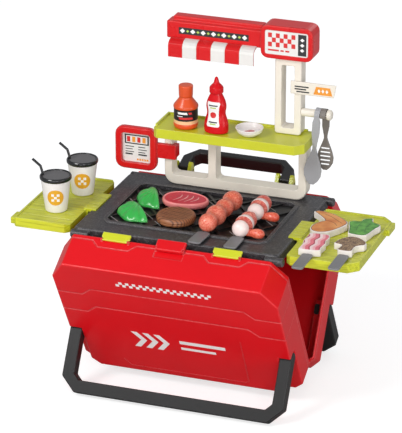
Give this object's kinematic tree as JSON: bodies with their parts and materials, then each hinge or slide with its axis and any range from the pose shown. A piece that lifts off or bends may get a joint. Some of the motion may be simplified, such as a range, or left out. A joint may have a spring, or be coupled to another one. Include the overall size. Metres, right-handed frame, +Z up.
{
  "type": "toy barbecue grill",
  "caption": "Pretend-play barbecue grill on an open carrying suitcase with folding legs, side trays, a kitchen stand with sign and awning, utensils, cups, sauces and play food.",
  "frame": {"origin": "on the floor below the hinge line of the suitcase, halfway between the outer ends of the side trays", "axes": "+Z up, +X to the right as the player at the front sees it, +Y to the back, away from the player"},
  "size_m": [0.5756, 0.3929, 0.5699],
  "materials": {
    "red_plastic": "glossy moulded",
    "lime_plastic": "glossy moulded",
    "black_plastic": "satin",
    "slate_plastic": "fine speckle, satin",
    "white_plastic": "glossy moulded",
    "grey_plastic": "satin",
    "brown_grey_plastic": "satin",
    "orange_plastic": "glossy",
    "green_plastic": "glossy",
    "meat_plastic": "glossy",
    "brown_plastic": "ribbed, satin",
    "salmon_plastic": "glossy",
    "token_board": "printed face, pale sides",
    "steel_pin": "plain"
  },
  "bodies": {
    "case": {"front_shell": "red_plastic", "rear_shell": "red_plastic", "hinge_pin": "steel_pin", "handle_bracket_left": "lime_plastic", "handle_bracket_right": "lime_plastic"},
    "front_leg": {"front_leg": "black_plastic"},
    "rear_leg": {"rear_leg": "black_plastic"},
    "carry_handle": {"carry_handle": "black_plastic"},
    "latch_left": {"latch_left": "lime_plastic"},
    "latch_right": {"latch_right": "lime_plastic"},
    "center_hasp": {"center_hasp": "red_plastic"},
    "worktop": {"worktop": "slate_plastic", "grill_plate": "black_plastic", "support_frame": "white_plastic", "shelf": "lime_plastic", "menu_frame": "red_plastic", "menu_panel": "white_plastic", "sign_post": "white_plastic", "sign_box": "red_plastic", "sign_box_panel": "white_plastic", "sign_beam": "red_plastic", "awning": "red_plastic", "awning_white_1": "white_plastic", "awning_white_2": "white_plastic", "awning_white_3": "white_plastic", "side_sign": "white_plastic", "hook_bar": "white_plastic"},
    "side_tray_left": {"side_tray_left": "lime_plastic"},
    "side_tray_right": {"side_tray_right": "lime_plastic"},
    "spatula": {"spatula": "grey_plastic"},
    "slotted_turner": {"slotted_turner": "brown_grey_plastic"},
    "cup_front": {"cup_front": "white_plastic", "cup_front_lid": "black_plastic", "cup_front_straw": "black_plastic"},
    "cup_rear": {"cup_rear": "white_plastic", "cup_rear_lid": "black_plastic", "cup_rear_straw": "black_plastic"},
    "sauce_bottle": {"sauce_bottle": "orange_plastic", "sauce_bottle_cap": "orange_plastic"},
    "squeeze_bottle": {"squeeze_bottle": "red_plastic", "squeeze_nozzle": "red_plastic"},
    "dish": {"dish": "white_plastic", "dish_sauce": "meat_plastic"},
    "pepper_half_1": {"pepper_half_1": "green_plastic"},
    "pepper_half_2": {"pepper_half_2": "green_plastic"},
    "steak": {"steak": "meat_plastic"},
    "patty": {"patty": "brown_plastic"},
    "skewer_1": {"skewer_1_stick": "grey_plastic", "skewer_1_chicken": "salmon_plastic"},
    "skewer_2": {"skewer_2_stick": "grey_plastic", "skewer_2_prawns": "salmon_plastic"},
    "skewer_3": {"skewer_3_stick": "grey_plastic", "bacon_token": "token_board"},
    "skewer_4": {"skewer_4_stick": "grey_plastic", "mushroom_token": "token_board"},
    "wing_token": {"wing_token": "token_board"},
    "slice_token": {"slice_token": "token_board"}
  },
  "joints": [
    {"name": "front_leg_fold", "type": "hinge", "parent": "case", "child": "front_leg", "pos_m": [-0.0102, -0.09628, 0.09423], "axis": [1, 0, 0], "range_deg": [0, 60]},
    {"name": "rear_leg_fold", "type": "hinge", "parent": "case", "child": "rear_leg", "pos_m": [-0.0102, 0.09628, 0.09423], "axis": [-1, 0, 0], "range_deg": [0, 60]},
    {"name": "carry_handle_swing", "type": "hinge", "parent": "case", "child": "carry_handle", "pos_m": [-0.0102, 0.15368, 0.28164], "axis": [1, 0, 0], "range_deg": [0, 70]},
    {"name": "latch_left_flip", "type": "hinge", "parent": "case", "child": "latch_left", "pos_m": [-0.10122, -0.147, 0.27407], "axis": [1, 0, 0], "range_deg": [0, 75]},
    {"name": "latch_right_flip", "type": "hinge", "parent": "case", "child": "latch_right", "pos_m": [0.08082, -0.147, 0.27407], "axis": [1, 0, 0], "range_deg": [0, 75]},
    {"name": "center_hasp_flip", "type": "hinge", "parent": "case", "child": "center_hasp", "pos_m": [-0.0102, -0.14959, 0.27257], "axis": [1, 0, 0], "range_deg": [0, 75]},
    {"name": "worktop_lift", "type": "slide", "parent": "case", "child": "worktop", "axis": [0, 0, 1], "range_m": [0, 0.06]},
    {"name": "side_tray_left_pull", "type": "slide", "parent": "worktop", "child": "side_tray_left", "axis": [-1, 0, 0], "range_m": [0, 0.03]},
    {"name": "side_tray_right_pull", "type": "slide", "parent": "worktop", "child": "side_tray_right", "axis": [1, 0, 0], "range_m": [0, 0.03]},
    {"name": "spatula_swing", "type": "hinge", "parent": "worktop", "child": "spatula", "pos_m": [0.1469, 0.102, 0.42768], "axis": [-1, 0, 0], "range_deg": [0, 25]},
    {"name": "slotted_turner_swing", "type": "hinge", "parent": "worktop", "child": "slotted_turner", "pos_m": [0.1565, 0.102, 0.42744], "axis": [1, 0, 0], "range_deg": [-5, 25]},
    {"name": "cup_front_lift", "type": "slide", "parent": "side_tray_left", "child": "cup_front", "axis": [0, 0, 1], "range_m": [0, 0.05]},
    {"name": "cup_rear_lift", "type": "slide", "parent": "side_tray_left", "child": "cup_rear", "axis": [0, 0, 1], "range_m": [0, 0.05]},
    {"name": "sauce_bottle_lift", "type": "slide", "parent": "worktop", "child": "sauce_bottle", "axis": [0, 0, 1], "range_m": [0, 0.03]},
    {"name": "squeeze_bottle_lift", "type": "slide", "parent": "worktop", "child": "squeeze_bottle", "axis": [0, 0, 1], "range_m": [0, 0.015]},
    {"name": "dish_lift", "type": "slide", "parent": "worktop", "child": "dish", "axis": [0, 0, 1], "range_m": [0, 0.04]},
    {"name": "pepper_half_1_lift", "type": "slide", "parent": "worktop", "child": "pepper_half_1", "axis": [0, 0, 1], "range_m": [0, 0.05]},
    {"name": "pepper_half_2_lift", "type": "slide", "parent": "worktop", "child": "pepper_half_2", "axis": [0, 0, 1], "range_m": [0, 0.05]},
    {"name": "steak_lift", "type": "slide", "parent": "worktop", "child": "steak", "axis": [0, 0, 1], "range_m": [0, 0.05]},
    {"name": "patty_lift", "type": "slide", "parent": "worktop", "child": "patty", "axis": [0, 0, 1], "range_m": [0, 0.05]},
    {"name": "skewer_1_lift", "type": "slide", "parent": "worktop", "child": "skewer_1", "axis": [0, 0, 1], "range_m": [0, 0.05]},
    {"name": "skewer_2_lift", "type": "slide", "parent": "worktop", "child": "skewer_2", "axis": [0, 0, 1], "range_m": [0, 0.05]},
    {"name": "skewer_3_lift", "type": "slide", "parent": "side_tray_right", "child": "skewer_3", "axis": [0, 0, 1], "range_m": [0, 0.05]},
    {"name": "skewer_4_lift", "type": "slide", "parent": "side_tray_right", "child": "skewer_4", "axis": [0, 0, 1], "range_m": [0, 0.05]},
    {"name": "wing_token_lift", "type": "slide", "parent": "side_tray_right", "child": "wing_token", "axis": [0, 0, 1], "range_m": [0, 0.05]},
    {"name": "slice_token_lift", "type": "slide", "parent": "side_tray_right", "child": "slice_token", "axis": [0, 0, 1], "range_m": [0, 0.05]}
  ]
}
